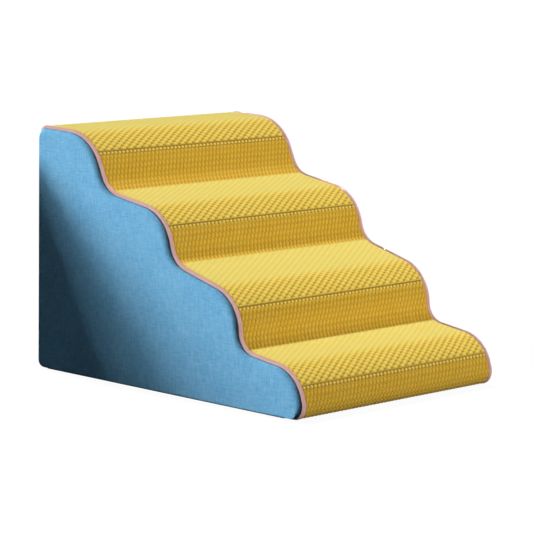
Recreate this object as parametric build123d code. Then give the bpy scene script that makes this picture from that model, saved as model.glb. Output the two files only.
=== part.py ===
"""Foam pet stairs: a profiled foam core in a sewn, zipped fabric cover.

Millimetres, +Z up.  The front is towards -Y, the back towards +Y, and the
origin lies on the floor under the middle of the stairs.
"""
from build123d import *
from math import acos, cos, hypot, pi, sin, tan
import os

# Overall size
LENGTH = 594.0              # back panel to the front of the toe
WIDTH = 450.0               # across both side panels
HEIGHT = 398.0              # floor to the top edge at the back

# Side profile: where the straight runs would cross, as (forward, up) shares
# of LENGTH and HEIGHT.  Each step is a nosing, then the valley under it.
BACK_TOP_SHARES = (0.0, 0.9990)
NOSE_CORNER_SHARES = ((0.2054, 0.9876), (0.5010, 0.7124), (0.7665, 0.4267), (0.9745, 0.1908))
VALLEY_CORNER_SHARES = ((0.2713, 0.7700), (0.5288, 0.5245), (0.7777, 0.2321))
TOE_SHARES = (1.0134, 0.0)
NOSE_RADIUS = 72.0
NOSE_RADIUS_SHARES = (1.125, 1.020, 0.969, 0.867)
VALLEY_RADIUS = 40.0
VALLEY_RADIUS_SHARES = (1.10, 1.08, 0.81)
TOE_RADIUS = 22.7
BACK_TOP_RADIUS = 13.0
BACK_FOOT_RADIUS = 14.0
ROOM_SHARE = 0.995          # of a straight run that its two rounds may take up
LEAST_ROUND = 1.0           # radius left where an inner layer uses a round up

# Cover panels
TREAD_CLOTH = 3.0           # spacer knit over the steps
SIDE_CLOTH = 2.0
BACK_CLOTH = 2.0
BASE_CLOTH = 1.5
SIDE_ROUND_ACROSS = 5.0     # soft edge of a side panel, measured across the stairs
SIDE_ROUND_DOWN = 8.0       # and measured down the side face
EDGE_SIDES = 2              # flats that make up that edge
SIDE_RIM_DROP = 4.5         # a side panel's rim, below the line of the steps
SIDE_RIM_INSET = 1.0        # and inside the line of the back and the base
BACK_SEAM_DROP = 18.0       # top edge down to the seam behind
TOE_TUCK = 40.0             # toe back to the seam under it
FOOT_SEAM = 20.0            # back panel in to the seam under it
SEAM_GAP = 0.3              # running gap between neighbouring pieces

# Piping along both edges of the steps
PIPING_RADIUS = 3.25
PIPING_SIDES = 6            # flats round the piping
CORD_RADIUS = 2.0
CORD_GAP = 0.3              # cord to the strip that wraps it
CORD_SIDES = 4
PIPING_INSET = 9.0          # piping's centre line in from the side face
PIPING_LIE = 1.8            # and below the line of the steps

# Grip dots under the base
DOT_RADIUS = 4.0
DOT_HEIGHT = 1.2
DOT_PITCH = 75.0
DOT_MARGIN = 14.0           # base panel's edge to the nearest dot's centre
DOT_BITE = 0.3              # dots' root in the base cloth

# Foam
SOFT_LAYER = 15.0           # soft foam sheet over the steps
SOFT_LAYER_FOOT = 45.0      # floor up to that sheet's front end
GLUE_GAP = 0.3
FOAM_BEVEL = 12.5           # foam edge, cut back for the piping and the side seams

# Zip across the back panel
ZIP_HEIGHT = 75.0           # floor to the chain's centre line
ZIP_MARGIN = 20.0           # side face to the end of the tapes
ZIP_SLOT = 14.0             # gap between the back panels for the slider
TAPE_WIDTH = 11.0
TAPE_THICKNESS = 0.6
TAPE_TAIL = 14.0            # tape beyond the chain at each end
TOOTH_PITCH = 4.0
TOOTH_NECK = 1.1            # a tooth's width where it leaves the spine
TOOTH_HEAD = 2.3            # and at its tip
HEAD_LENGTH = 2.0           # reach past the zip's centre line
TEETH_THICKNESS = 2.2
SPINE_WIDTH = 0.9
STOP_LENGTH = 3.0

# Slider and its pull
SLIDER_LENGTH = 14.0
SLIDER_PLATE = 1.2
INNER_PLATE = 1.0
SLIDER_WALL = 1.2
SLIDER_FLARE = 1.5          # extra half width of the slider's mouth
POST_WIDTH = 4.0
POST_LENGTH = 5.0
BRIDGE_LENGTH = 9.6
BRIDGE_WIDTH = 2.0
BRIDGE_BAR = 1.0
BRIDGE_LEG = 1.6
BRIDGE_ROUND = 1.5
PULL_PIN_RADIUS = 0.6
PULL_LENGTH = 32.0
PULL_WIDTH = 6.4
PULL_THICKNESS = 1.2
PULL_HOLE_RADIUS = 1.5
PULL_CLEARANCE = 0.4

OVERRUN = 5.0               # cutters reach this far past what they cut


ZIP_LENGTH = WIDTH - 2 * ZIP_MARGIN

# Depths behind the back face that follow from the stack of layers
TAPE_DEPTH = BACK_CLOTH
TEETH_MIDDLE = TAPE_DEPTH + TAPE_THICKNESS / 2
PLATE_FACE = TEETH_MIDDLE - TEETH_THICKNESS / 2 - SEAM_GAP
INNER_FACE = TEETH_MIDDLE + TEETH_THICKNESS / 2 + SEAM_GAP
FOAM_BACK = INNER_FACE + INNER_PLATE + SEAM_GAP
FOAM_FRONT = TREAD_CLOTH + SEAM_GAP
FOAM_BASE = DOT_HEIGHT + BASE_CLOTH + SEAM_GAP
PIPING_X = WIDTH / 2 - PIPING_INSET
TREAD_HALF = PIPING_X - PIPING_RADIUS - SEAM_GAP
RIM_X = PIPING_X + PIPING_RADIUS + SEAM_GAP
FOAM_HALF = WIDTH / 2 - SIDE_CLOTH - SEAM_GAP


def intersection(line_a, line_b):
    """Crossing point of two lines, each given as (point, direction)."""
    (ax, ay), (dx, dy) = line_a
    (bx, by), (ex, ey) = line_b
    along = ((bx - ax) * ey - (by - ay) * ex) / (dx * ey - dy * ex)
    return ax + along * dx, ay + along * dy


def outer_corners():
    """Corners of the closed side profile as (forward, up), back foot first."""
    shares = [BACK_TOP_SHARES]
    for nose, valley in zip(NOSE_CORNER_SHARES, VALLEY_CORNER_SHARES):
        shares += [nose, valley]
    shares += [NOSE_CORNER_SHARES[-1], TOE_SHARES]
    return [(0.0, 0.0)] + [(forward * LENGTH, up * HEIGHT) for forward, up in shares]


def runs_of(corners):
    """Unit direction and length of each straight run, corner to next corner."""
    runs = []
    for (ax, ay), (bx, by) in zip(corners, corners[1:] + corners[:1]):
        length = hypot(bx - ax, by - ay)
        runs.append((((bx - ax) / length, (by - ay) / length), length))
    return runs


def turns_of(corners):
    """Turn at each corner in radians: positive on a nose, negative in a valley."""
    runs = runs_of(corners)
    turns = []
    for (before, _), (after, _) in zip(runs[-1:] + runs[:-1], runs):
        cross = before[0] * after[1] - before[1] * after[0]
        dot = before[0] * after[0] + before[1] * after[1]
        turns.append(acos(max(-1, min(1, dot))) * (1 if cross < 0 else -1))
    return turns


def outer_radii():
    """Radius at each outer corner, limited by the straight runs beside it."""
    steps = []
    for nose, valley in zip(NOSE_RADIUS_SHARES, VALLEY_RADIUS_SHARES):
        steps += [nose * NOSE_RADIUS, valley * VALLEY_RADIUS]
    steps.append(NOSE_RADIUS_SHARES[-1] * NOSE_RADIUS)
    radii = [BACK_FOOT_RADIUS, BACK_TOP_RADIUS] + steps + [TOE_RADIUS]
    corners = outer_corners()
    runs = runs_of(corners)
    legs = [r * tan(abs(t) / 2) for r, t in zip(radii, turns_of(corners))]
    scale = [1.0] * len(radii)
    for i, (_, length) in enumerate(runs):
        j = (i + 1) % len(runs)
        limit = ROOM_SHARE * length / (legs[i] + legs[j])
        scale[i] = min(scale[i], limit)
        scale[j] = min(scale[j], limit)
    return [r * s for r, s in zip(radii, scale)]


def inset_profile(steps, back, base):
    """Corners and radii of the profile with its steps, back and base moved in."""
    corners = outer_corners()
    insets = [back] + [steps for _ in corners[1:-1]] + [base]
    lines = []
    for (x, y), ((dx, dy), _), inset in zip(corners, runs_of(corners), insets):
        lines.append(((x + dy * inset, y - dx * inset), (dx, dy)))
    moved = [intersection(a, b) for a, b in zip(lines[-1:] + lines[:-1], lines)]
    radii = []
    for radius, turn, a, b in zip(outer_radii(), turns_of(corners), insets[-1:] + insets[:-1], insets):
        depth = max(a, b)
        radii.append(max(LEAST_ROUND, radius - depth) if turn > 0 else radius + depth)
    return moved, radii


def to_sketch(points):
    """(forward, up) points as (Y, Z)."""
    return [(LENGTH / 2 - forward, up) for forward, up in points]


def profile(steps, back, base):
    """The closed side profile as a face, its Y and Z in the sketch plane."""
    corners, radii = inset_profile(steps, back, base)
    return make_face(FilletPolyline(*to_sketch(corners), radius=radii, close=True))


def zone(near, far, low, high):
    """A rectangle of the side view, between two depths from the back face."""
    middle = LENGTH / 2 - (near + far) / 2
    return Pos(middle, (low + high) / 2) * Rectangle(far - near, high - low)


def prism(face, low, high):
    """A side view's face carried across the stairs from X low to X high."""
    return extrude(Plane.YZ.offset(low) * face, amount=high - low)


def block(x, y, z):
    """A box between pairs of limits."""
    return Pos((x[0] + x[1]) / 2, (y[0] + y[1]) / 2, (z[0] + z[1]) / 2) * Box(
        x[1] - x[0], y[1] - y[0], z[1] - z[0]
    )


def behind(outer, inner):
    """Y limits of a layer that lies between two depths behind the back face."""
    return LENGTH / 2 - inner, LENGTH / 2 - outer


def stacked(sections):
    """A solid through inset profiles, each given as (X, steps, back, base)."""
    faces = [Plane.YZ.offset(x) * profile(steps, back, base) for x, steps, back, base in sections]
    return loft(faces, ruled=True)


def bevelled_prism(steps, back, base, half):
    """A full-width solid on an inset profile, with its two side rims bevelled."""
    rim = (steps + FOAM_BEVEL, back + FOAM_BEVEL, base + FOAM_BEVEL)
    flat = half - FOAM_BEVEL
    body = (steps, back, base)
    return stacked([(-half, *rim), (-flat, *body), (flat, *body), (half, *rim)])


# Foam

def foam_block():
    """Outer shape of both foams together, with bevelled edges."""
    return bevelled_prism(FOAM_FRONT, FOAM_BACK, FOAM_BASE, FOAM_HALF)


def soft_sheet_cut(depth, foot):
    """A prism under the soft sheet, used to part it from the core."""
    inner = profile(FOAM_FRONT + depth, -OVERRUN, -OVERRUN)
    low_part = zone(-OVERRUN, LENGTH + OVERRUN, -OVERRUN, foot)
    return prism(inner + low_part, -WIDTH, WIDTH)


def comfort_layer():
    return foam_block() - soft_sheet_cut(SOFT_LAYER, SOFT_LAYER_FOOT)


def foam_core():
    return foam_block() & soft_sheet_cut(SOFT_LAYER + GLUE_GAP, SOFT_LAYER_FOOT - GLUE_GAP)


# Cover

def cover_ring(cloth_steps, cloth_back, cloth_base):
    """Section of the cover's cloth all round the profile."""
    outside = profile(0, 0, DOT_HEIGHT)
    return outside - profile(cloth_steps, cloth_back, DOT_HEIGHT + cloth_base)


def tread_panel():
    ring = cover_ring(TREAD_CLOTH, TREAD_CLOTH, BASE_CLOTH)
    back_part = zone(-OVERRUN, BACK_FOOT_RADIUS + OVERRUN, -OVERRUN, HEIGHT - BACK_SEAM_DROP)
    base_part = zone(-OVERRUN, LENGTH - TOE_TUCK, -OVERRUN, BACK_FOOT_RADIUS + OVERRUN)
    return prism(ring - back_part - base_part, -TREAD_HALF, TREAD_HALF)


def back_ring():
    """Section of the back cloth, from its top seam round to the one below."""
    ring = cover_ring(BACK_CLOTH, BACK_CLOTH, BASE_CLOTH)
    top = HEIGHT - BACK_SEAM_DROP - SEAM_GAP
    upright = zone(-OVERRUN, BACK_FOOT_RADIUS, BACK_FOOT_RADIUS, top)
    foot = zone(-OVERRUN, FOOT_SEAM, -OVERRUN, BACK_FOOT_RADIUS)
    return ring & (upright + foot)


def zip_window():
    """The slot that the two back panels leave for the zip."""
    return block(
        (-ZIP_LENGTH / 2, ZIP_LENGTH / 2),
        behind(-OVERRUN, BACK_CLOTH + OVERRUN),
        (ZIP_HEIGHT - ZIP_SLOT / 2, ZIP_HEIGHT + ZIP_SLOT / 2),
    )


def back_panel_upper():
    part = back_ring() & zone(-OVERRUN, FOOT_SEAM, ZIP_HEIGHT + SEAM_GAP / 2, HEIGHT)
    return prism(part, -RIM_X + SEAM_GAP, RIM_X - SEAM_GAP) - zip_window()


def back_panel_lower():
    part = back_ring() & zone(-OVERRUN, FOOT_SEAM, -OVERRUN, ZIP_HEIGHT - SEAM_GAP / 2)
    return prism(part, -RIM_X + SEAM_GAP, RIM_X - SEAM_GAP) - zip_window()


def dot_rows(room):
    """Places of an odd row of dots, centred on 0, within +-room."""
    reach = int(room // DOT_PITCH)
    return [i * DOT_PITCH for i in range(-reach, reach + 1)]


def base_panel():
    near = FOOT_SEAM + SEAM_GAP
    far = LENGTH - TOE_TUCK - SEAM_GAP
    sheet = zone(near, far, DOT_HEIGHT, DOT_HEIGHT + BASE_CLOTH)
    panel = prism(sheet, -RIM_X + SEAM_GAP, RIM_X - SEAM_GAP)
    across = dot_rows(RIM_X - DOT_MARGIN)
    along = dot_rows(min(LENGTH / 2 - near, far - LENGTH / 2) - DOT_MARGIN)
    dots = [Pos(x, y) * RegularPolygon(DOT_RADIUS, 6) for x in across for y in along]
    return panel + extrude(Sketch() + dots, amount=DOT_HEIGHT + DOT_BITE)


def pan(start, cloth, bands):
    """A side panel's outer form, or with cloth its inner one, from X start out."""
    centre = WIDTH / 2 - SIDE_ROUND_ACROSS
    places = [start]
    insets = [cloth]
    for band in range(bands + 1):
        turn = pi / 2 * band / bands
        places.append(centre + (SIDE_ROUND_ACROSS - cloth) * sin(turn))
        insets.append(SIDE_ROUND_DOWN - (SIDE_ROUND_DOWN - cloth) * cos(turn))
    drops = (SIDE_RIM_DROP, SIDE_RIM_INSET, SIDE_RIM_INSET + DOT_HEIGHT)
    return stacked([(x, *(inset + drop for drop in drops)) for x, inset in zip(places, insets)])


def side_panel(side):
    """A shallow pan of cloth with a soft outer edge; side is -1 or 1."""
    panel = pan(RIM_X, 0, EDGE_SIDES) - pan(RIM_X - OVERRUN, SIDE_CLOTH, 1)
    return panel if side > 0 else mirror(panel, Plane.YZ)


def piping_path(side):
    """Centre line of the piping, from under the back seam down to the toe."""
    back = PIPING_RADIUS + SEAM_GAP
    base = PIPING_RADIUS + SEAM_GAP
    corners, radii = inset_profile(PIPING_LIE, back, base)
    start = (back, HEIGHT - BACK_SEAM_DROP)
    end = (LENGTH - TOE_TUCK, base)
    points = to_sketch([start] + corners[1:] + [end])
    return Plane.YZ.offset(side * PIPING_X) * FilletPolyline(*points, radius=radii[1:])


def swept(path, section):
    """A section carried square along a path."""
    return sweep(Plane(origin=path @ 0, z_dir=path % 0) * section, path=path)


def piping(side):
    bore = RegularPolygon(CORD_RADIUS + CORD_GAP, CORD_SIDES)
    return swept(piping_path(side), RegularPolygon(PIPING_RADIUS, PIPING_SIDES) - bore)


def piping_cord(side):
    return swept(piping_path(side), RegularPolygon(CORD_RADIUS, CORD_SIDES))


# Zip

SPINE_START = HEAD_LENGTH + SEAM_GAP
SPINE_END = SPINE_START + SPINE_WIDTH
TEETH = int((ZIP_LENGTH - 2 * TAPE_TAIL) // TOOTH_PITCH)
CHAIN_HALF = TEETH * TOOTH_PITCH / 2


def tooth_row(up):
    """One side's row of interlocking teeth; up is 1 above the zip, -1 below.

    Each tooth widens like a dovetail towards its tip, which reaches past the
    centre line and is held between two teeth of the other row.
    """
    shift = 0 if up > 0 else TOOTH_PITCH / 2
    neck = TOOTH_NECK / 2
    head = TOOTH_HEAD / 2
    points = [(-CHAIN_HALF, SPINE_END), (-CHAIN_HALF, SPINE_START)]
    for i in range(TEETH if up > 0 else TEETH - 1):
        x = -CHAIN_HALF + TOOTH_PITCH / 2 + i * TOOTH_PITCH + shift
        points += [(x - neck, SPINE_START), (x - head, -HEAD_LENGTH)]
        points += [(x + head, -HEAD_LENGTH), (x + neck, SPINE_START)]
    points += [(CHAIN_HALF, SPINE_START), (CHAIN_HALF, SPINE_END)]
    outline = make_face(Polyline(*[(x, ZIP_HEIGHT + up * w) for x, w in points], close=True))
    y = LENGTH / 2 - TEETH_MIDDLE
    # Plane.XZ faces the front, so the row grows both ways from its middle
    return extrude(Plane.XZ.offset(-y) * outline, amount=TEETH_THICKNESS / 2, both=True)


def zip_tape(up):
    edges = sorted((ZIP_HEIGHT + up * SPINE_END, ZIP_HEIGHT + up * (SPINE_END + TAPE_WIDTH)))
    return block(
        (-ZIP_LENGTH / 2, ZIP_LENGTH / 2), behind(TAPE_DEPTH, TAPE_DEPTH + TAPE_THICKNESS), edges
    )


SLIDER_BACK_HALF = SPINE_END + SEAM_GAP + SLIDER_WALL
SLIDER_FRONT_HALF = SLIDER_BACK_HALF + SLIDER_FLARE
SLIDER_X = CHAIN_HALF               # slider's middle when the zip is shut
PIN_DEPTH = PLATE_FACE - SLIDER_PLATE - PULL_CLEARANCE - PULL_PIN_RADIUS
TRAVEL = 2 * CHAIN_HALF - SLIDER_LENGTH / 2 - SEAM_GAP


def stop_depths():
    return behind(TEETH_MIDDLE - TEETH_THICKNESS / 2, TEETH_MIDDLE + TEETH_THICKNESS / 2)


def zip_top_stop(up):
    """The stop on one tape's edge, just past the shut slider."""
    x = SLIDER_X + SLIDER_LENGTH / 2 + SEAM_GAP
    edges = sorted((ZIP_HEIGHT + up * SEAM_GAP, ZIP_HEIGHT + up * SPINE_END))
    return block((x, x + STOP_LENGTH), stop_depths(), edges)


def zip_bottom_stop():
    """One stop across both tapes, where the teeth begin."""
    x = -CHAIN_HALF - SEAM_GAP
    span = (ZIP_HEIGHT - SPINE_END, ZIP_HEIGHT + SPINE_END)
    return block((x - STOP_LENGTH, x), stop_depths(), span)


def slider_plan(back_half, front_half):
    """Plan of the slider: straight behind, flared towards its mouth."""
    half = SLIDER_LENGTH / 2
    upper = [(-half, back_half), (0, back_half), (half, front_half)]
    lower = [(x, -w) for x, w in reversed(upper)]
    return make_face(Polyline(*upper, *lower, close=True))


def wedge_plan(length, width):
    """A diamond, the wedge that parts the two rows of teeth."""
    return make_face(
        Polyline((-length / 2, 0), (0, width / 2), (length / 2, 0), (0, -width / 2), close=True)
    )


def depth_extrude(plan, outer, inner):
    """A plan (X, up from the zip) thickened between two depths behind the back."""
    plane = Plane.XZ.offset(-(LENGTH / 2 - inner)).shift_origin(
        Vector(SLIDER_X, LENGTH / 2 - inner, ZIP_HEIGHT)
    )
    return extrude(plane * plan, amount=-(inner - outer))


def zip_slider():
    whole = slider_plan(SLIDER_BACK_HALF, SLIDER_FRONT_HALF)
    lane = slider_plan(SLIDER_BACK_HALF - SLIDER_WALL, SLIDER_FRONT_HALF - SLIDER_WALL)
    walls = whole - lane
    post = Pos(POST_LENGTH / 2 + SEAM_GAP) * wedge_plan(POST_LENGTH, POST_WIDTH)
    tape_front = TAPE_DEPTH - SEAM_GAP
    tape_rear = TAPE_DEPTH + TAPE_THICKNESS + SEAM_GAP
    body = depth_extrude(whole, PLATE_FACE - SLIDER_PLATE, PLATE_FACE)
    body += depth_extrude(whole, INNER_FACE, INNER_FACE + INNER_PLATE)
    body += depth_extrude(walls, PLATE_FACE, tape_front)
    body += depth_extrude(walls, tape_rear, INNER_FACE)
    body += depth_extrude(post, PLATE_FACE, INNER_FACE)
    return body + bridge()


def bridge():
    """The arch over the outer plate that holds the pull's pin."""
    plate = LENGTH / 2 - PLATE_FACE + SLIDER_PLATE
    opening = 2 * (PULL_PIN_RADIUS + PULL_CLEARANCE)
    top = plate + opening + BRIDGE_BAR
    half = BRIDGE_LENGTH / 2
    hoop = Pos(SLIDER_X, (plate + top) / 2) * Rectangle(BRIDGE_LENGTH, top - plate)
    hoop = fillet(hoop.vertices().group_by(Axis.Y)[-1], BRIDGE_ROUND)
    window = Pos(SLIDER_X, plate + opening / 2) * Rectangle(2 * (half - BRIDGE_LEG), opening)
    base = Plane.XY.offset(ZIP_HEIGHT - BRIDGE_WIDTH / 2)
    return extrude(base * (hoop - window), amount=BRIDGE_WIDTH)


def zip_pull():
    """Flat tab lying over the closed chain, hung on a pin under the bridge."""
    reach = BRIDGE_LENGTH / 2 + PULL_CLEARANCE * 2
    nose = PULL_PIN_RADIUS
    tab = Pos((nose - PULL_LENGTH) / 2) * Rectangle(PULL_LENGTH + nose, PULL_WIDTH)
    tab = fillet(tab.vertices().group_by(Axis.X)[0], PULL_WIDTH / 3)
    gap = BRIDGE_WIDTH + 2 * PULL_CLEARANCE
    window = Pos((OVERRUN - reach) / 2) * Rectangle(reach + OVERRUN, gap)
    hole = Pos(-PULL_LENGTH + PULL_WIDTH / 2) * Circle(PULL_HOLE_RADIUS)
    plate = depth_extrude(
        tab - window - hole, PIN_DEPTH - PULL_THICKNESS / 2, PIN_DEPTH + PULL_THICKNESS / 2
    )
    pin = Pos(SLIDER_X, LENGTH / 2 - PIN_DEPTH, ZIP_HEIGHT) * Cylinder(
        PULL_PIN_RADIUS, gap + PULL_THICKNESS
    )
    return plate + pin


PIECES = {
    "foam_core": foam_core,
    "comfort_layer": comfort_layer,
    "tread_panel": tread_panel,
    "back_panel_upper": back_panel_upper,
    "back_panel_lower": back_panel_lower,
    "base_panel": base_panel,
    "side_panel_left": lambda: side_panel(-1),
    "side_panel_right": lambda: side_panel(1),
    "piping_left": lambda: piping(-1),
    "piping_right": lambda: piping(1),
    "piping_cord_left": lambda: piping_cord(-1),
    "piping_cord_right": lambda: piping_cord(1),
    "zip_teeth_upper": lambda: tooth_row(1),
    "zip_teeth_lower": lambda: tooth_row(-1),
    "zip_tape_upper": lambda: zip_tape(1),
    "zip_tape_lower": lambda: zip_tape(-1),
    "zip_top_stop_upper": lambda: zip_top_stop(1),
    "zip_top_stop_lower": lambda: zip_top_stop(-1),
    "zip_bottom_stop": zip_bottom_stop,
    "zip_slider": zip_slider,
    "zip_pull": zip_pull,
}

os.makedirs("parts", exist_ok=True)
for name, make in PIECES.items():
    export_step(make(), f"parts/{name}.step")
print(f"slider middle x {SLIDER_X:.2f}, travel {TRAVEL:.2f}, pin depth {PIN_DEPTH:.2f}")
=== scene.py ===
from math import acos, ceil, cos, hypot, pi, radians, sin, tan

import bpy
import numpy as np
from mathutils import Matrix, Vector, geometry, noise


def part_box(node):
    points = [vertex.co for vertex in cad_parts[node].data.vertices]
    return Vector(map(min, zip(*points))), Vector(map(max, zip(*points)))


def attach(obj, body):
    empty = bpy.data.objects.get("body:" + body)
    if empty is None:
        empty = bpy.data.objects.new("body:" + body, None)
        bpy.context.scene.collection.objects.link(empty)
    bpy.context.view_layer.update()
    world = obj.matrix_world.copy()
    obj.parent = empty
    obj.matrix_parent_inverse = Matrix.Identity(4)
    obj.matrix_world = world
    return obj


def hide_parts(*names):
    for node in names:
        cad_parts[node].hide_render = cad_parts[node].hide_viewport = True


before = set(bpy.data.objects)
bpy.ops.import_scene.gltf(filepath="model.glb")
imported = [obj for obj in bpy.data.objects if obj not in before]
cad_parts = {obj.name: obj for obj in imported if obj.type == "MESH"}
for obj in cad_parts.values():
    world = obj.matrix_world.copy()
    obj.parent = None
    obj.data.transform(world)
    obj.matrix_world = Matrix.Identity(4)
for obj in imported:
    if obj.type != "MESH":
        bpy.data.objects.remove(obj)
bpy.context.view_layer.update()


# Foam.  A block of support foam is cut to the stepped side line, and a softer
# sheet is glued over the steps.  Neither is seen once the cover is on.

STAIR_LENGTH = 0.594            # back panel to the front of the toe
STAIR_HEIGHT = 0.398            # floor to the top edge at the back
BASE_LEVEL = 0.0012             # underside of the base cloth, on its grip dots
NOSE_CORNERS = ((0.2054, 0.9876), (0.5010, 0.7124), (0.7665, 0.4267), (0.9745, 0.1908))
VALLEY_CORNERS = ((0.2713, 0.7700), (0.5288, 0.5245), (0.7777, 0.2321))
TOE_CORNER = (1.0134, 0.0)
NOSE_RADII = (0.0810, 0.0734, 0.0698, 0.0624)
VALLEY_RADII = (0.0440, 0.0432, 0.0324)
TOE_RADIUS = 0.0227
BACK_TOP_RADIUS = 0.0130
BACK_FOOT_RADIUS = 0.0140
FINE = 0.0005                   # spacing of the points that the side line is kept as


def side_line_corners():
    """Corners and radii of the closed side line as (forward, up), foot first."""
    shares = [(0.0, 0.999)]
    radii = [BACK_FOOT_RADIUS, BACK_TOP_RADIUS]
    for i, nose in enumerate(NOSE_CORNERS):
        shares.append(nose)
        radii.append(NOSE_RADII[i])
        if i < len(VALLEY_CORNERS):
            shares.append(VALLEY_CORNERS[i])
            radii.append(VALLEY_RADII[i])
    corners = [(0.0, BASE_LEVEL)]
    corners += [(forward * STAIR_LENGTH, up * STAIR_HEIGHT) for forward, up in shares]
    # the last riser is cut off where the base cloth lies
    (nx, nz), (tx, tz) = corners[-1], (TOE_CORNER[0] * STAIR_LENGTH, 0.0)
    share = (BASE_LEVEL - tz) / (nz - tz)
    corners.append((tx + (nx - tx) * share, BASE_LEVEL))
    return corners, radii + [TOE_RADIUS]


def rounded_line(corners, radii, spacing):
    """A closed line with its corners rounded: points, outward normals, arc starts."""
    count = len(corners)
    ways = []
    for (ax, az), (bx, bz) in zip(corners, corners[1:] + corners[:1]):
        length = hypot(bx - ax, bz - az)
        ways.append(((bx - ax) / length, (bz - az) / length))
    points, normals, arc_starts = [], [], []

    def straight(start, end, way):
        steps = max(1, ceil(hypot(end[0] - start[0], end[1] - start[1]) / spacing))
        for k in range(steps):
            points.append([start[j] + (end[j] - start[j]) * k / steps for j in (0, 1)])
            normals.append([-way[1], way[0]])

    ends = []
    for i in range(count):
        before, after = ways[i - 1], ways[i]
        cross = before[0] * after[1] - before[1] * after[0]
        turn = acos(max(-1.0, min(1.0, before[0] * after[0] + before[1] * after[1])))
        reach = radii[i] * tan(turn / 2)
        enter = [corners[i][j] - before[j] * reach for j in (0, 1)]
        leave = [corners[i][j] + after[j] * reach for j in (0, 1)]
        ends.append((enter, leave, turn, cross < 0))
    for i in range(count):
        enter, leave, turn, convex = ends[i]
        before = ways[i - 1]
        side = -1.0 if convex else 1.0
        left = (-before[1], before[0])
        centre = [enter[j] + side * left[j] * radii[i] for j in (0, 1)]
        steps = max(2, ceil(radii[i] * turn / spacing))
        arc_starts.append(len(points))
        for k in range(steps):
            angle = side * turn * k / steps
            normal = (left[0] * cos(angle) - left[1] * sin(angle),
                      left[0] * sin(angle) + left[1] * cos(angle))
            points.append([centre[j] - side * normal[j] * radii[i] for j in (0, 1)])
            normals.append(list(normal))
        straight(leave, ends[(i + 1) % count][0], ways[i])
    return np.array(points), np.array(normals), arc_starts


line_points, line_normals, line_arcs = rounded_line(*side_line_corners(), FINE)
line_steps = np.hypot(*(np.roll(line_points, -1, axis=0) - line_points).T)
line_places = np.concatenate([[0.0], np.cumsum(line_steps)])
LINE_LENGTH = line_places[-1]
BACK_FACE = STAIR_LENGTH / 2


def on_line(place, depth=0.0):
    """(Y, Z) on the side line at a distance along it, moved in by depth; and its normal."""
    place = np.asarray(place, float) % LINE_LENGTH
    closed_points = np.vstack([line_points, line_points[:1]])
    closed_normals = np.vstack([line_normals, line_normals[:1]])
    point = np.stack([np.interp(place, line_places, closed_points[:, j]) for j in (0, 1)], -1)
    normal = np.stack([np.interp(place, line_places, closed_normals[:, j]) for j in (0, 1)], -1)
    point = point - normal * np.asarray(depth)[..., None]
    point = np.stack([BACK_FACE - point[..., 0], point[..., 1]], -1)
    return point, normal * (-1.0, 1.0)


PLACE_BACK_TOP = line_places[line_arcs[1]]      # where the back rounds over into the top tread
PLACE_TOE_END = line_places[line_arcs[-1]] + TOE_RADIUS * 1.76   # where the toe meets the base
PLACE_UP_BACK = line_places[line_arcs[0]] + BACK_FOOT_RADIUS * pi / 2   # foot of the upright back


def back_place(height):
    """Distance along the side line of a height on the upright back."""
    return PLACE_UP_BACK + height - BASE_LEVEL - BACK_FOOT_RADIUS


def base_place(forward):
    """Distance along the side line of a point under the base."""
    return LINE_LENGTH + line_places[line_arcs[0]] - (forward - BACK_FOOT_RADIUS)


class Shade:
    """A shader socket in arithmetic: each sum or product adds a Math node."""

    def __init__(self, tree, socket=None):
        self.tree, self.socket = tree, socket

    def node(self, kind, settings=None, inputs=None, out=0):
        """Any node: its settings first, then the values or links of its sockets."""
        made = self.tree.nodes.new("ShaderNode" + kind)
        for name, value in (settings or {}).items():
            if name == "stops":
                ramp = made.color_ramp.elements
                while len(ramp) < len(value):
                    ramp.new(1.0)
                for stop, (place, colour) in zip(ramp, value):
                    stop.position, stop.color = place, (*colour, 1.0)
            else:
                setattr(made, name, value)
        for name, value in (inputs or {}).items():
            if isinstance(value, Shade):
                self.tree.links.new(value.socket, made.inputs[name])
            else:
                made.inputs[name].default_value = value
        return Shade(self.tree, made.outputs[out]) if len(made.outputs) else made

    def math(self, operation, *values):
        return self.node("Math", {"operation": operation}, dict(enumerate(values)))

    def __add__(self, other):
        return self.math("ADD", self, other)

    def __sub__(self, other):
        return self.math("SUBTRACT", self, other)

    def __rsub__(self, other):
        return self.math("SUBTRACT", other, self)

    def __mul__(self, other):
        return self.math("MULTIPLY", self, other)

    def __pow__(self, other):
        return self.math("POWER", self, other)

    __radd__ = __add__
    __rmul__ = __mul__

    def mix(self, share, first, second):
        """Two colours mixed by a share."""
        return self.node("Mix", {"data_type": "RGBA"}, {0: share, 6: first, 7: second}, out=2)

    def noise(self, where, scale, detail=2.0, rough=0.5):
        return self.node("TexNoise", None, {
            "Vector": where, "Scale": scale, "Detail": detail, "Roughness": rough})

    def stretched(self, where, scale):
        """Coordinates scaled by a different number along each axis."""
        return self.node("VectorMath", {"operation": "MULTIPLY"}, {0: where, 1: scale})

    def part(self, where, axis):
        return self.node("SeparateXYZ", None, {0: where}, out="XYZ".index(axis))


def tone(red, green, blue):
    """A colour as a screen shows it, 0 to 255, as the renderer's linear colour."""
    shares = [c / 255 for c in (red, green, blue)]
    return tuple(c / 12.92 if c <= 0.04045 else ((c + 0.055) / 1.055) ** 2.4 for c in shares) + (1.0,)


def finish(name, build, **constants):
    """A material; build gives the changing inputs of its shader from a Shade."""
    material = bpy.data.materials.new(name)
    material.use_nodes = True
    shader = material.node_tree.nodes["Principled BSDF"]
    for key, value in constants.items():
        shader.inputs[key.replace("_", " ")].default_value = value
    for key, value in build(Shade(material.node_tree)).items():
        if isinstance(value, Shade):
            material.node_tree.links.new(value.socket, shader.inputs[key])
        else:
            shader.inputs[key].default_value = value
    return material


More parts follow.
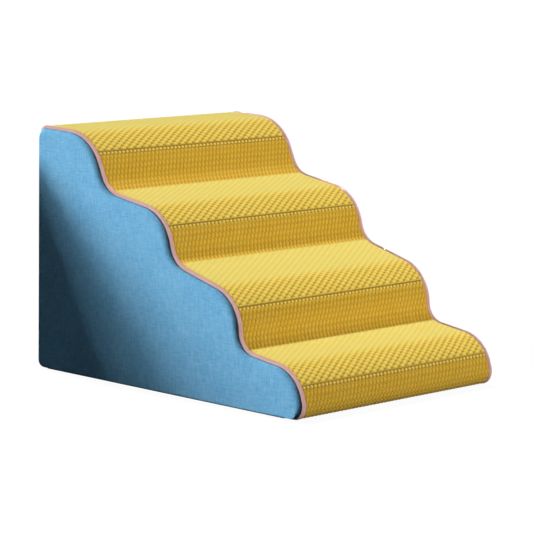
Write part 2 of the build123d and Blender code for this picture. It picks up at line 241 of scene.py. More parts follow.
def bumped(shade, height, depth):
    return shade.node("Bump", None, {"Strength": 1.0, "Distance": depth, "Height": height})


def dress(node, material):
    """Give a CAD node its material."""
    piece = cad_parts[node]
    piece.data.materials.clear()
    piece.data.materials.append(material)


def foam_finish(name, light, dark, cell):
    """Open-cell foam: pale, matt, with small pores and a faint mottle."""
    def build(shade):
        where = shade.node("TexCoord", out=3)
        pores = shade.node("TexVoronoi", None, {"Vector": where, "Scale": 1 / cell})
        mottle = shade.noise(where, 30.0, 4.0)
        # The colour darkens towards the pores: painted shade in the pores.
        colour = shade.mix(pores * 0.7 + mottle * 0.3, dark, light)
        return {"Base Color": colour, "Normal": bumped(shade, pores, 0.0006)}
    return finish(name, build, Roughness=0.95)


dress("foam_core", foam_finish("support_foam", tone(236, 233, 220), tone(205, 200, 182), 0.0022))
dress("comfort_layer", foam_finish("soft_foam", tone(243, 238, 222), tone(216, 208, 186), 0.0016))


# Tread panel.  One length of coarse spacer knit runs from the seam behind the
# top edge, over the steps and under the toe.  Treads have a basket of slanted
# bumps, risers upright ones, parted by a ribbed line on each nosing.

tread_low, tread_high = (Vector(corner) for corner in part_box("tread_panel"))
TREAD_HALF = tread_high.x
TREAD_CLOTH = 0.003
TREAD_SAMPLE = 0.0014           # spacing of the knit's points
BACK_SEAM_DROP = 0.018
TOE_TUCK = 0.040
CHAIN = PLACE_TOE_END - PLACE_BACK_TOP
RIB_SHARES = (0.1835, 0.4379, 0.6860, 0.9196)   # ribbed lines, as shares of the way down
KNIT_PITCH = 0.00819            # bumps across
BASKET_ROW = 0.0100             # the treads' pattern repeats along the cloth
RISER_ROW = 0.0176              # and the risers'
BASKET_TILT = radians(-18)
KNIT_RELIEF = 0.0017
OPEN_ON_FLAT = 0.25
OPEN_REACH = 0.068              # up from each ribbed line
RIB_SPACING = 0.0036            # groove to the row of beads below it


def dome(across, along, half_width, half_length):
    """Height of an oval bump, 1 at its middle and 0 from its edge out."""
    return np.sqrt(np.clip(1 - (across / half_width) ** 2 - (along / half_length) ** 2, 0, 1))


def staggered(across, along, pitch, row, tilt, half_width, half_length):
    """Height of a staggered lattice of oval bumps, tilted by an angle."""
    height = np.zeros_like(across)
    for offset in (0.0, 0.5):
        for lean in (-1, 0, 1):
            a = (across / pitch - offset + 0.5) % 1 - 0.5
            b = (along / row - offset + 0.5) % 1 - 0.5
            x, y = a * pitch, (b + lean) * row
            height = np.maximum(height, dome(
                x * cos(tilt) + y * sin(tilt), -x * sin(tilt) + y * cos(tilt),
                half_width, half_length))
    return height


def smooth(value, low, high):
    share = np.clip((value - low) / (high - low), 0, 1)
    return share * share * (3 - 2 * share)


def riser_share(down):
    """1 on the risers' knit and 0 on the treads', by distance from the back top."""
    share = np.zeros_like(down)
    valleys = [line_places[line_arcs[i]] - PLACE_BACK_TOP for i in (3, 5, 7)] + [CHAIN]
    for rib, valley in zip(RIB_SHARES, valleys):
        ends = valley + 0.027 if valley < CHAIN else CHAIN + 0.1
        share = np.maximum(share, smooth(down, rib * CHAIN + 0.006, rib * CHAIN + 0.007)
                           * (1 - smooth(down, ends, ends + 0.006)))
    return share


def nose_share(down):
    """How open the treads' knit is: fully on each nosing, less on the flat."""
    share = np.maximum(OPEN_ON_FLAT, smooth(-down, 0.0, 0.008))
    for rib in RIB_SHARES:
        above = rib * CHAIN - down
        near = 1 - smooth(above, OPEN_REACH / 2, OPEN_REACH)
        share = np.maximum(share, np.where(above > -0.01, OPEN_ON_FLAT + (1 - OPEN_ON_FLAT) * near, 0))
    return share


def knit_relief(across, down):
    """Height of the knit, 0 in its gaps and 1 on its bumps."""
    basket = staggered(across, down, 2 * KNIT_PITCH, BASKET_ROW, BASKET_TILT, 0.0066, 0.0041)
    share = nose_share(down)
    basket = 1 - (1 - np.minimum((1.7 - 0.7 * share) * basket, 1)) * share
    sway = 0.0009 * np.sin(4 * pi * down / RISER_ROW)
    upright = staggered(across + sway, down, KNIT_PITCH, RISER_ROW, 0.0, 0.0033, 0.0050)
    share = riser_share(down)
    height = basket * (1 - share) + 0.8 * upright * share
    for rib in RIB_SHARES:
        groove = down - rib * CHAIN
        clear = smooth(np.abs(groove - 0.0026), 0.0034, 0.0042)
        beads_at = groove - RIB_SPACING
        slant = (across + 0.5 * beads_at) / KNIT_PITCH % 1 - 0.5
        beads = dome(slant * KNIT_PITCH, beads_at, 0.0030, 0.0025)
        height = height * clear + 1.3 * beads * (1 - clear)
    return height


def grid_piece(name, points, material, uv=None, wrap=False, flip=False, **attributes):
    """A grid of points as one smooth mesh object; wrap joins its last column to its first."""
    rows, columns = points.shape[:2]
    index = np.arange(rows * columns).reshape(rows, columns)
    if wrap:
        index = np.column_stack([index, index[:, :1]])
    quads = np.stack([index[:-1, :-1], index[1:, :-1], index[1:, 1:], index[:-1, 1:]], -1)
    quads = quads.reshape(-1, 4)[:, ::-1] if flip else quads.reshape(-1, 4)
    mesh = bpy.data.meshes.new(name)
    mesh.from_pydata(points.reshape(-1, 3).tolist(), [], quads.tolist())
    mesh.shade_smooth()
    if uv is not None:
        corner = np.empty(len(mesh.loops), int)
        mesh.loops.foreach_get("vertex_index", corner)
        layer = mesh.uv_layers.new(name="cloth")
        layer.data.foreach_set("uv", uv.reshape(-1, 2)[corner].ravel())
    for key, values in attributes.items():
        mesh.attributes.new(key, "FLOAT", "POINT").data.foreach_set("value", values.ravel())
    mesh.materials.append(material)
    piece = bpy.data.objects.new(name, mesh)
    bpy.context.scene.collection.objects.link(piece)
    return piece


def knit_finish():
    def build(shade):
        cloth = shade.node("UVMap", {"uv_map": "cloth"})
        height = shade.node("Attribute", {"attribute_name": "relief"}, out=2)
        riser = shade.node("Attribute", {"attribute_name": "riser"}, out=2)
        opened = shade.node("Attribute", {"attribute_name": "opened"}, out=2)
        fuzz = shade.noise(shade.stretched(cloth, (900.0, 900.0, 1.0)), 1.0, 3.0, 0.6)
        patches = shade.noise(cloth, 22.0, 3.0)
        # Crests turn a deeper ochre towards each nosing: painted shade where the nosings turn to face forward.
        crest = shade.mix(opened * 1.5 - 0.5, tone(232, 212, 104), tone(246, 214, 82))
        # The risers' crests are a deeper ochre than the treads': partly the knit's own colour, partly painted
        # shade on the risers and painted sheen on the treads.
        crest = shade.mix(riser, crest, tone(232, 184, 28))
        # Colour runs from the crest tone on the bumps to a darker gap tone between them and in each ribbed
        # line's groove: painted shade in the knit's hollows.
        gap = shade.mix(riser, tone(150, 104, 10), tone(174, 124, 8))
        colour = shade.mix(height ** (0.9 - 0.4 * riser), gap, crest)
        # Where the height rises past 1, which is only on the beads below each groove, the colour pales: a
        # painted highlight on the beads.
        colour = shade.mix(height * 4.0 - 4.1, colour, tone(250, 220, 100))
        colour = shade.mix(fuzz * 0.14 + patches * 0.1 - 0.03, colour, tone(250, 232, 130))
        yarn = shade.node("TexWave", {"wave_type": "BANDS", "bands_direction": "DIAGONAL"}, {
            "Vector": shade.stretched(cloth, (1.0, 1.0, 1.0)), "Scale": 330.0, "Distortion": 1.2,
            "Detail": 1.0, "Detail Scale": 400.0}, out=1)
        return {"Base Color": colour, "Roughness": 0.62 + fuzz * 0.2,
                "Normal": bumped(shade, yarn * 0.6 + fuzz * 0.4, 0.0004)}
    return finish("tread_knit", build, Sheen_Weight=0.12, Sheen_Roughness=0.4,
                  Sheen_Tint=tone(255, 250, 220), Specular_IOR_Level=0.2)


tread_start, tread_end = back_place(STAIR_HEIGHT - BACK_SEAM_DROP), base_place(STAIR_LENGTH - TOE_TUCK)
rows = np.linspace(tread_start, tread_end, int((tread_end - tread_start) / TREAD_SAMPLE))
columns = np.linspace(-TREAD_HALF, TREAD_HALF, int(2 * TREAD_HALF / TREAD_SAMPLE))
columns = np.concatenate([columns[:1], columns, columns[-1:]])
down, across = np.meshgrid(rows - PLACE_BACK_TOP, columns, indexing="ij")
relief = knit_relief(across, down)
edge = smooth(TREAD_HALF - np.abs(across), 0.0, 0.003)
depth = KNIT_RELIEF * (1 - relief) + 0.0006 * (1 - edge) ** 2
depth[:, [0, -1]] = TREAD_CLOTH
middle, outward = on_line(rows)
tread_points = np.empty((*down.shape, 3))
tread_points[..., 0] = across
tread_points[..., 1:] = middle[:, None, :] - outward[:, None, :] * (depth - 0.0003)[..., None]
tread = grid_piece(
    "tread_panel_knit", tread_points, knit_finish(), uv=np.stack([across, down], -1),
    relief=relief, riser=riser_share(down), opened=nose_share(down))
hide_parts("tread_panel")
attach(tread, "stairs")
tread_end - tread_start


# Side panels.  Each is one piece of linen-weave cloth drawn over the foam's
# side, with a soft rounded edge and a few creases by the toe.

side_low, side_high = (Vector(corner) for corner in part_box("side_panel_right"))
SIDE_FACE = side_high.x
SIDE_RIM = side_low.x
RIM_DROP = 0.0010               # rim inside the line of the back and base
STEP_RIM_DROP = 0.0032          # and lower along the steps, under the piping
EDGE_ACROSS = SIDE_FACE - side_low.x
EDGE_DOWN_BASE = 0.0040         # width of the soft edge at the base and back
EDGE_DOWN_TREADS = 0.0115       # along the treads
EDGE_DOWN_RISERS = 0.0130       # and along the risers
EDGE_POWER = 3.0                # how fully the edge swells, 1 being a flat bevel
EDGE_BANDS = 12
SIDE_SAMPLE = 0.0040
CREASES = (                     # middle (Y, Z), direction, half length and width
    ((-0.243, 0.072), radians(-42), 0.020, 0.0022),
    ((-0.060, 0.235), radians(-36), 0.018, 0.0020),
)


def linen_finish(name, light, dark, across_axis):
    """Linen-weave cloth, its threads along one side axis and Z."""
    def build(shade):
        where = shade.node("TexCoord", out=3)
        a, b = shade.part(where, across_axis), shade.part(where, "Z")
        along = {"X": (70.0, 1.0, 420.0), "Y": (1.0, 70.0, 420.0)}[across_axis]
        upright = {"X": (420.0, 1.0, 60.0), "Y": (1.0, 420.0, 60.0)}[across_axis]
        weft = shade.noise(shade.stretched(where, along), 1.0, 3.0, 0.65)
        warp = shade.noise(shade.stretched(where, upright), 1.0, 3.0, 0.65)
        cloud = shade.noise(where, 14.0, 4.0, 0.6)
        threads = shade.math("SINE", a * (2 * pi / 0.0011) + warp * 3.0)
        threads = threads * shade.math("SINE", b * (2 * pi / 0.0011) + weft * 3.0)
        share = weft * 0.9 + warp * 1.0 + threads * 0.07 + cloud * 0.4 - 0.62
        colour = shade.mix(share, dark, light)
        return {"Base Color": colour, "Roughness": 0.78 + weft * 0.15,
                "Normal": bumped(shade, threads * 0.3 + weft * 0.5 + warp * 0.5, 0.0009)}
    return finish(name, build, Sheen_Weight=0.02, Sheen_Roughness=0.5,
                  Sheen_Tint=tone(190, 220, 240), Specular_IOR_Level=0.0)


def crease_height(y, z):
    """How far the creases by the toe stand proud of a side panel."""
    height = 0.0
    for (cy, cz), way, half_length, half_width in CREASES:
        along = (y - cy) * cos(way) + (z - cz) * sin(way)
        off = -(y - cy) * sin(way) + (z - cz) * cos(way) - 6.0 * along * along
        height += max(0.0, 1 - (along / half_length) ** 2) * (
            np.exp(-(off / half_width) ** 2) - 0.5 * np.exp(-((off + 1.6 * half_width) / half_width) ** 2))
    return 0.0006 * height


def side_swell(y, z, inset):
    """How far a side panel's face stands out, softest in its middle."""
    slow = noise.noise(Vector((y * 9, z * 9, 1.7)))
    quick = noise.noise(Vector((y * 34, z * 34, 5.2)))
    body = min(1.0, inset / 0.04)
    return body * (0.0004 + 0.0006 * slow) + min(1.0, inset / 0.008) * (
        0.00022 * quick + crease_height(y, z))


def side_panel(name, side, material):
    places = np.arange(0, LINE_LENGTH, SIDE_SAMPLE * 0.75)
    past = np.maximum(PLACE_BACK_TOP + 0.012 - places, places - PLACE_TOE_END + 0.024)
    lowered = (STEP_RIM_DROP - RIM_DROP) * (1 - smooth(past, 0.0, 0.02))
    _, outward = on_line(places)
    edge = EDGE_DOWN_TREADS + (EDGE_DOWN_RISERS - EDGE_DOWN_TREADS) * smooth(-outward[:, 0], 0.3, 0.9)
    firm = smooth(np.maximum(PLACE_BACK_TOP + 0.012 - places, (places - PLACE_TOE_END + 0.030) / 1.4), 0.0, 0.02)
    edge = EDGE_DOWN_BASE + (edge - EDGE_DOWN_BASE) * (1 - firm)
    rings = [(SIDE_RIM, np.full_like(places, 0.002)), (SIDE_RIM, np.zeros_like(places))]
    for band in range(1, EDGE_BANDS + 1):
        share = band / EDGE_BANDS
        rings.append((SIDE_RIM + EDGE_ACROSS * (1 - (1 - share) ** EDGE_POWER), edge * share))
    verts, faces = [], []
    count = len(places)
    for x, inset in rings:
        points, _ = on_line(places, inset + RIM_DROP + lowered)
        for (y, z), place, away in zip(points, places, inset):
            pucker = noise.noise(Vector((place * 60, side * 3.0, 0.4)))
            swell = side_swell(y, z, away) + 0.00025 * pucker * smooth(away, 0.0, 0.005)
            verts.append((side * (x + swell * (x - SIDE_RIM) / EDGE_ACROSS), y, z))
    for ring in range(len(rings) - 1):
        for i in range(count):
            j = (i + 1) % count
            quad = [ring * count + i, ring * count + j, (ring + 1) * count + j, (ring + 1) * count + i]
            faces.append(quad if side > 0 else quad[::-1])
    border, _ = on_line(places, edge + RIM_DROP + lowered)
    inside, _ = on_line(places, edge + RIM_DROP + lowered + 0.6 * SIDE_SAMPLE)
    low, high = border.min(axis=0), border.max(axis=0)
    lattice = [
        (y, z)
        for y in np.arange(low[0], high[0], SIDE_SAMPLE)
        for z in np.arange(low[1], high[1], SIDE_SAMPLE)
        if within(y, z, inside)
    ]
    plane = [Vector(p) for p in border] + [Vector(p) for p in lattice]
    edges = [(i, (i + 1) % count) for i in range(count)]
    flat, _, triangles, origins, _, _ = geometry.delaunay_2d_cdt(plane, edges, [], 1, 1e-7)
    base = (len(rings) - 1) * count
    number = {}
    for k, (y, z) in enumerate(flat):
        origin = origins[k][0] if origins[k] else None
        if origin is not None and origin < count:
            number[k] = base + origin
        else:
            number[k] = len(verts)
            nearest = np.hypot(border[:, 0] - y, border[:, 1] - z)
            reach = min(0.05, float(nearest.min()) + edge[nearest.argmin()])
            verts.append((side * (SIDE_FACE + side_swell(y, z, reach)), y, z))
    for triangle in triangles:
        triangle = [number[k] for k in triangle]
        faces.append(triangle if side > 0 else triangle[::-1])
    mesh = bpy.data.meshes.new(name)
    mesh.from_pydata(verts, [], faces)
    mesh.shade_smooth()
    mesh.materials.append(material)
    piece = bpy.data.objects.new(name, mesh)
    bpy.context.scene.collection.objects.link(piece)
    return piece


def within(y, z, outline):
    """Whether a point lies inside a closed outline."""
    ys, zs = outline[:, 0], outline[:, 1]
    ye, ze = np.roll(ys, -1), np.roll(zs, -1)
    crossed = (zs > z) != (ze > z)
    at = ys + (z - zs) / np.where(ze == zs, 1.0, ze - zs) * (ye - ys)
    return bool(np.count_nonzero(crossed & (y < at)) % 2)


side_linen = linen_finish("side_linen", tone(142, 202, 236), tone(80, 153, 204), "Y")
for name, side in (("left", -1), ("right", 1)):
    panel = side_panel(f"side_panel_{name}_linen", side, side_linen)
    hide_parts(f"side_panel_{name}")
    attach(panel, "stairs")


# Piping.  A bias strip folded round a cord is sewn into the seam between the
# tread panel and each side panel, from behind the top edge to under the toe.

piping_low, piping_high = (Vector(corner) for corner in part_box("piping_right"))
PIPING_X = (piping_low.x + piping_high.x) / 2
PIPING_RADIUS = 0.0031
PIPING_LIE = 0.0018             # centre below the line of the steps
PIPING_SINK = 0.00355           # and below the cloth behind and under the stairs
PIPING_SIDES = 16
PIPING_STEPS = 420
PIPING_TAIL = 0.004             # strip beyond the end of its cord
PIPING_TAPER = 0.007


def piping_finish():
    def build(shade):
        cloth = shade.node("UVMap", {"uv_map": "cloth"})
        s, turn = shade.part(cloth, "X"), shade.part(cloth, "Y")
        bias = shade.math("SINE", (s + turn) * (2 * pi / 0.0009))
        cross = shade.math("SINE", (s - turn) * (2 * pi / 0.0009))
        slubs = shade.noise(shade.stretched(cloth, (260.0, 900.0, 1.0)), 1.0, 3.0)
        colour = shade.mix(slubs * 0.5 + bias * cross * 0.12 + 0.2,
                           tone(242, 178, 174), tone(253, 214, 208))
        return {"Base Color": colour, "Normal": bumped(shade, bias * cross + slubs, 0.0003)}
    return finish("piping_cloth", build, Roughness=0.8, Sheen_Weight=0.1, Specular_IOR_Level=0.1)


piping_cloth = piping_finish()
cord_cloth = finish("piping_cord", lambda shade: {
    "Base Color": shade.mix(shade.noise(shade.node("TexCoord", out=3), 700.0), tone(214, 210, 198),
                            tone(240, 238, 230)),
    "Roughness": 0.9})
for name, side in (("left", -1), ("right", 1)):
    places = np.linspace(tread_start - PIPING_TAIL, tread_end + PIPING_TAIL, PIPING_STEPS)
    past = np.maximum(PLACE_BACK_TOP + 0.010 - places, places - PLACE_TOE_END + 0.020)
    sink = PIPING_LIE + (PIPING_SINK - PIPING_LIE) * smooth(past, 0.0, 0.022)
    middle, outward = on_line(places, sink)
    taper = smooth(np.minimum(places - places[0], places[-1] - places), 0.0, PIPING_TAPER)
    wave = np.array([noise.noise(Vector((p * 90, side * 2.0, 0.0))) for p in places])
    radius = PIPING_RADIUS * (0.2 + 0.8 * taper) * (1 + 0.03 * wave)
    angle = np.linspace(0, 2 * pi, PIPING_SIDES, endpoint=False)
    ring = np.empty((len(places), PIPING_SIDES, 3))
    ring[..., 0] = side * PIPING_X + radius[:, None] * np.sin(angle)
    ring[..., 1:] = middle[:, None, :] + outward[:, None, :] * (
        radius[:, None] * np.cos(angle))[..., None]
    uv = np.stack(np.meshgrid(places, angle * PIPING_RADIUS, indexing="ij"), -1)
    strip = grid_piece(f"piping_{name}_strip", ring, piping_cloth, uv=uv, wrap=True)
    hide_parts(f"piping_{name}")
    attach(strip, "stairs")
    dress(f"piping_cord_{name}", cord_cloth)


# Back panels.  The same linen in two parts, hemmed along the zip between them.
# They turn under at the foot and meet the base cloth there.

back_low, back_high = (Vector(corner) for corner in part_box("back_panel_upper"))
BACK_HALF = back_high.x
ZIP_HEIGHT = 0.075
ZIP_SLOT_HALF = 0.0070
ZIP_SLOT_ENDS = (-0.1945, 0.2015)   # just past the stops
FOOT_SEAM = 0.020
HEM_WIDTH = 0.0080
HEM_RISE = 0.0007
BACK_SAMPLE = 0.0030


def stitched_linen():
    return linen_finish("back_linen", tone(112, 170, 212), tone(48, 116, 176), "X")


def back_panel(name, upper, material):
    """One back panel; its edge at the zip steps in where the zip ends."""
    across = np.linspace(-BACK_HALF, BACK_HALF, int(2 * BACK_HALF / BACK_SAMPLE))
    inside = np.minimum(across - ZIP_SLOT_ENDS[0], ZIP_SLOT_ENDS[1] - across)
    slot_share = smooth(inside, -0.0010, 0.0010)
    gap = 0.00015 + (ZIP_SLOT_HALF - 0.00015) * slot_share
    if upper:
        far = np.full_like(across, back_place(STAIR_HEIGHT - BACK_SEAM_DROP - 0.0003))
        near = back_place(ZIP_HEIGHT) + gap
    else:
        far = np.full_like(across, base_place(FOOT_SEAM) - LINE_LENGTH)
        near = back_place(ZIP_HEIGHT) - gap
    steps = int(abs(far[0] - near[0]) / (BACK_SAMPLE if upper else 0.0012))
    share = np.linspace(0, 1, steps) ** 1.5
    place = near[None, :] + (far - near)[None, :] * share[:, None]
    middle, outward = on_line(place)
    from_hem = np.abs(place - near[None, :])
    hem = smooth(from_hem, 0.0, 0.0012) * (1 - smooth(from_hem, HEM_WIDTH, HEM_WIDTH + 0.0012))
    hem = hem * slot_share[None, :]
    stitch = dome(((across / 0.0032) % 1 - 0.5)[None, :] * 0.0032, from_hem - 0.0055, 0.0012, 0.0006)
    side_roll = (1 - smooth(BACK_HALF - np.abs(across), 0.0, 0.004))[None, :]
    slow = np.array([[noise.noise(Vector((x * 8, p * 8, 3.1))) for x in across] for p in share])
    height = HEM_RISE * hem - 0.0005 * stitch * slot_share[None, :] + 0.0004 * slow - 0.0012 * side_roll
    points = np.empty((*place.shape, 3))
    points[..., 0] = across[None, :]
    points[..., 1:] = middle + outward * height[..., None]
    return grid_piece(name, points, material, flip=upper)


back_linen = stitched_linen()
for name, upper in (("upper", True), ("lower", False)):
    panel = back_panel(f"back_panel_{name}_linen", upper, back_linen)
    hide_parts(f"back_panel_{name}")
    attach(panel, "stairs")


# Zip.  A moulded chain on woven tapes crosses the back, with a metal slider,
# its flat pull, two stops where it shuts and one where the teeth begin.

def tape_finish():
    def build(shade):
        where = shade.node("TexCoord", out=3)
        ribs = shade.math("SINE", (shade.part(where, "X") + shade.part(where, "Z")) * (2 * pi / 0.0012))
        colour = shade.mix(ribs * 0.3 + 0.5, tone(24, 62, 98), tone(48, 96, 138))
        return {"Base Color": colour, "Normal": bumped(shade, ribs, 0.0002)}
    return finish("zip_tape", build, Roughness=0.8)


def teeth_finish():
    def build(shade):
        where = shade.node("TexCoord", out=3)
        cloud = shade.noise(where, 160.0, 2.0)
        return {"Base Color": shade.mix(cloud, tone(30, 74, 112), tone(58, 108, 150)),
                "Roughness": 0.36 + cloud * 0.15}
    return finish("zip_teeth", build)


def zip_metal_finish():
    def build(shade):
        where = shade.node("TexCoord", out=3)
        scuffs = shade.noise(shade.stretched(where, (300.0, 900.0, 1400.0)), 1.0, 3.0)
        return {"Base Color": shade.mix(scuffs, tone(142, 145, 150), tone(206, 208, 212)),
                "Roughness": 0.22 + scuffs * 0.22,
                "Normal": bumped(shade, scuffs, 0.00006)}
    return finish("zip_metal", build, Metallic=1.0)


zip_tape, zip_teeth, zip_metal = tape_finish(), teeth_finish(), zip_metal_finish()
for node in ("zip_tape_upper", "zip_tape_lower"):
    dress(node, zip_tape)
for node in ("zip_teeth_upper", "zip_teeth_lower"):
    dress(node, zip_teeth)
for node in ("zip_top_stop_upper", "zip_top_stop_lower", "zip_bottom_stop", "zip_slider", "zip_pull"):
    dress(node, zip_metal)


# Base panel.  Dark woven cloth with rows of moulded grip dots that the stairs
# stand on.

base_low, base_high = (Vector(corner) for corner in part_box("base_panel"))
DOT_PITCH = 0.0150
DOT_RADIUS = 0.0028
DOT_SIDES = 10


def grip_finish():
    def build(shade):
        where = shade.node("TexCoord", out=3)
        a, b = shade.part(where, "X"), shade.part(where, "Y")
        threads = shade.math("SINE", a * (2 * pi / 0.0010)) * shade.math("SINE", b * (2 * pi / 0.0010))
        cloud = shade.noise(where, 60.0, 3.0)
        colour = shade.mix(threads * 0.3 + cloud * 0.7, tone(40, 46, 54), tone(78, 86, 96))
        return {"Base Color": colour, "Normal": bumped(shade, threads, 0.0003)}
    return finish("grip_cloth", build, Roughness=0.85)


def dot_finish():
    def build(shade):
        cloud = shade.noise(shade.node("TexCoord", out=3), 220.0, 2.0)
        return {"Base Color": shade.mix(cloud, tone(22, 24, 28), tone(48, 52, 58)),
                "Roughness": 0.45 + cloud * 0.2}
    return finish("grip_dots", build)


def grip_base():
    """The base cloth with its dots, as one mesh."""
    verts, faces, kinds = [], [], []
    for x in (base_low.x, base_high.x):
        for y in (base_low.y, base_high.y):
            for z in (BASE_LEVEL, base_high.z):
                verts.append((x, y, z))
    for quad in ((0, 1, 3, 2), (4, 6, 7, 5), (0, 4, 5, 1), (2, 3, 7, 6), (0, 2, 6, 4), (1, 5, 7, 3)):
        faces.append(quad)
        kinds.append(0)
    margin = 0.012
    rows_x = np.arange(base_low.x + margin, base_high.x - margin, DOT_PITCH)
    rows_y = np.arange(base_low.y + margin, base_high.y - margin, DOT_PITCH)
    for i, x in enumerate(rows_x):
        for y in rows_y + (DOT_PITCH / 2 if i % 2 else 0.0):
            if y > base_high.y - margin:
                continue
            start = len(verts)
            for share, z in ((1.0, BASE_LEVEL), (0.9, BASE_LEVEL * 0.35), (0.55, 0.0)):
                for k in range(DOT_SIDES):
                    angle = 2 * pi * k / DOT_SIDES
                    verts.append((x + DOT_RADIUS * share * cos(angle),
                                  y + DOT_RADIUS * share * sin(angle), z))
            for ring in (0, 1):
                for k in range(DOT_SIDES):
                    a, b = start + ring * DOT_SIDES + k, start + ring * DOT_SIDES + (k + 1) % DOT_SIDES
                    faces.append((a, a + DOT_SIDES, b + DOT_SIDES, b))
                    kinds.append(1)
            faces.append(tuple(start + 2 * DOT_SIDES + k for k in reversed(range(DOT_SIDES))))
            kinds.append(1)
    mesh = bpy.data.meshes.new("base_panel_grip")
    mesh.from_pydata(verts, [], faces)
    mesh.materials.append(grip_finish())
    mesh.materials.append(dot_finish())
    mesh.polygons.foreach_set("material_index", kinds)
    piece = bpy.data.objects.new("base_panel_grip", mesh)
    bpy.context.scene.collection.objects.link(piece)
    return piece


base = grip_base()
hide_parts("base_panel")
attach(base, "stairs")


# Studio.  A white floor and background, and plain white lamps: a sun-like key from behind and
# above, and a broad front light for the risers.  The left side panel has raking lamps of its own,
# which a slanted flag behind it cuts off, for the soft diagonal shadow across the panel.

KEY_FROM = (0.05, 0.42, 1.0)
RAKE_ACROSS = -0.80             # the lamps that rake the side panels come from this side
FRONT_PLACE = (2.4, -4.4, 1.2)
FLAG_BEHIND = 0.069
FLAG_FALL = 0.82                # the flag's upper edge falls this much for each unit outwards


def seen_ray(shade):
    """Marks what the camera sees straight on, in a gloss or through glass."""
    straight_or_gloss = shade.math("MAXIMUM", shade.node("LightPath"), shade.node("LightPath", out=3))
    return shade.math("MAXIMUM", straight_or_gloss, shade.node("LightPath", out=6))


def floor_finish():
    material = bpy.data.materials.new("studio_floor")
    material.use_nodes = True
    tree = material.node_tree
    tree.nodes.remove(tree.nodes["Principled BSDF"])
    shade = Shade(tree)
    seen = seen_ray(shade)
    dark = shade.node("BsdfDiffuse", None, {"Color": (0.03, 0.03, 0.03, 1.0)})
    pale = shade.node("BsdfDiffuse", None, {"Color": (0.8, 0.8, 0.8, 1.0)})
    glow = shade.node("Emission", None, {"Color": (1.0, 1.0, 1.0, 1.0), "Strength": 1.03})
    shown = shade.node("MixShader", None, {0: 0.93, 1: pale, 2: glow})
    both = shade.node("MixShader", None, {0: seen, 1: dark, 2: shown})
    tree.links.new(both.socket, tree.nodes["Material Output"].inputs["Surface"])
    return material


def stage_sheet(name, corners, material):
    mesh = bpy.data.meshes.new(name)
    mesh.from_pydata(corners, [], [tuple(range(len(corners)))])
    mesh.materials.append(material)
    piece = bpy.data.objects.new(name, mesh)
    bpy.context.scene.collection.objects.link(piece)
    return piece


def lamp(name, kind, energy, place, aim, **settings):
    data = bpy.data.lights.new(name, kind)
    data.energy = energy
    for key, value in settings.items():
        setattr(data, key, value)
    piece = bpy.data.objects.new(name, data)
    piece.location = place
    piece.rotation_euler = (Vector(aim) - Vector(place)).to_track_quat("-Z", "Y").to_euler()
    bpy.context.scene.collection.objects.link(piece)
    return piece


def sun(name, way, energy, width, colour):
    """A distant lamp that shines from a direction, width degrees across."""
    return lamp(name, "SUN", energy, Vector(way).normalized() * 3, (0, 0, 0),
                angle=radians(width), color=colour)


studio_floor = floor_finish()
stage_sheet("floor", [(-15, -15, 0), (15, -15, 0), (15, 15, 0), (-15, 15, 0)], studio_floor)
flag_y = BACK_FACE + FLAG_BEHIND
flag = stage_sheet("side_flag", [(-SIDE_FACE, flag_y, 0), (-SIDE_FACE, flag_y, STAIR_HEIGHT),
                                 (-SIDE_FACE - STAIR_HEIGHT / FLAG_FALL, flag_y, 0)], studio_floor)
flag.visible_camera = flag.visible_diffuse = flag.visible_glossy = False
key = sun("key", KEY_FROM, 2.8, 5, (1.0, 0.98, 0.94))


def lit_set(name, *pieces):
    """A set of pieces that a lamp lights alone."""
    group = bpy.data.collections.new(name)
    for piece in pieces:
        group.objects.link(bpy.data.objects[piece])
    return group


left_side = lit_set("left_side", "side_panel_left_linen")
edges = lit_set("edges", "piping_left_strip", "piping_right_strip")
right_side = lit_set("right_side", "side_panel_right_linen")
steps = lit_set("steps", "tread_panel_knit", "piping_left_strip", "piping_right_strip")
for name, lean, width, colour, lit in (("side_edge", 51.2, 4.1, (0.07, 0.07, 0.07), left_side),
                                       ("side_slant", 75.0, 28, (0.42, 0.42, 0.42), left_side),
                                       ("side_grazing", 86.0, 22, (0.87, 0.87, 0.87), left_side),
                                       ("side_piping", 60.0, 30, (0.66, 0.66, 0.66), edges)):
    way = (RAKE_ACROSS, sin(radians(lean)), cos(radians(lean)))
    sun(name, way, 5.8, width, colour).light_linking.receiver_collection = lit
not_left = lit_set("not_left_side", "side_panel_left_linen")
not_left.collection_objects[0].light_linking.link_state = "EXCLUDE"
key.light_linking.receiver_collection = not_left
FILL_FROM = (-1.0, -0.6, 0.3)
fill = sun("side_fill", FILL_FROM, 0.05, 20, (1.0, 1.0, 1.0))
top = sun("side_top", (0.0, 0.3, 1.0), 0.75, 10, (1.0, 1.0, 1.0))
for light in (fill, top):
    light.light_linking.receiver_collection = left_side
edge_fill = sun("piping_fill", FILL_FROM, 1.6, 20, (1.0, 1.0, 1.0))
edge_fill.light_linking.receiver_collection = edges
right_lamp = sun("right", (1.0, 0.25, 0.6), 2.9, 20, (1.0, 1.0, 1.0))
right_lamp.light_linking.receiver_collection = right_side
front = lamp("front", "SPOT", 1080, FRONT_PLACE, (0, 0.16, 0.42), spot_size=radians(42),
             spot_blend=1.0, shadow_soft_size=1.2)
front.light_linking.receiver_collection = steps
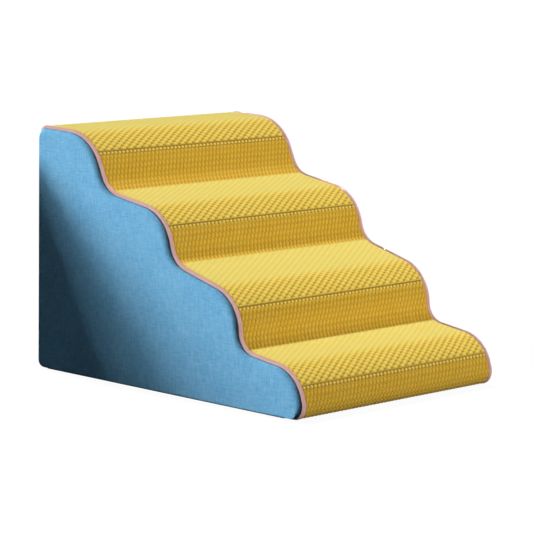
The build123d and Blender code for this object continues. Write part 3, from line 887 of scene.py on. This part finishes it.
back = lamp("back", "AREA", 8.0, (0.15, 1.4, 0.40), (0, 0.2, 0.25), shape="DISK", size=0.6)
not_steps = lit_set("not_steps", "tread_panel_knit")
not_steps.collection_objects[0].light_linking.link_state = "EXCLUDE"
back.light_linking.receiver_collection = not_steps
unflagged = lit_set("unflagged", "side_flag")
unflagged.collection_objects[0].light_linking.link_state = "EXCLUDE"
for light in (key, fill, top, edge_fill, right_lamp, front, back):
    light.light_linking.blocker_collection = unflagged

world = bpy.data.worlds.new("studio")
bpy.context.scene.world = world
world.use_nodes = True
sky = Shade(world.node_tree)
background = world.node_tree.nodes["Background"]
tint = sky.mix(seen_ray(sky), (0.030, 0.030, 0.030, 1.0), (1.0, 1.0, 1.0, 1.0))
world.node_tree.links.new(tint.socket, background.inputs["Color"])


# Camera, at the photograph's place.

CAMERA_TARGET = Vector((0.0538, 0.0485, 0.1694))
CAMERA_DISTANCE = 4.2995
CAMERA_AZIMUTH = radians(-45.95)
CAMERA_ELEVATION = radians(8.40)
CAMERA_ROLL = radians(0.9)
CAMERA_LENS = 177.6

camera = bpy.data.objects.new("camera", bpy.data.cameras.new("camera"))
camera.data.sensor_fit = "HORIZONTAL"
camera.data.sensor_width = 36
camera.data.lens = CAMERA_LENS
camera.data.clip_end = 100
away = Vector((sin(CAMERA_AZIMUTH) * cos(CAMERA_ELEVATION),
               -cos(CAMERA_AZIMUTH) * cos(CAMERA_ELEVATION), sin(CAMERA_ELEVATION)))
right = (-away).cross(Vector((0, 0, 1))).normalized()
upward = right.cross(-away).normalized()
rolled_right = right * cos(CAMERA_ROLL) + upward * sin(CAMERA_ROLL)
rolled_up = upward * cos(CAMERA_ROLL) - right * sin(CAMERA_ROLL)
camera.matrix_world = Matrix.Translation(CAMERA_TARGET + away * CAMERA_DISTANCE) @ Matrix(
    (rolled_right, rolled_up, away)).transposed().to_4x4()
bpy.context.scene.collection.objects.link(camera)
bpy.context.scene.camera = camera
bpy.context.scene.view_settings.view_transform = "Standard"
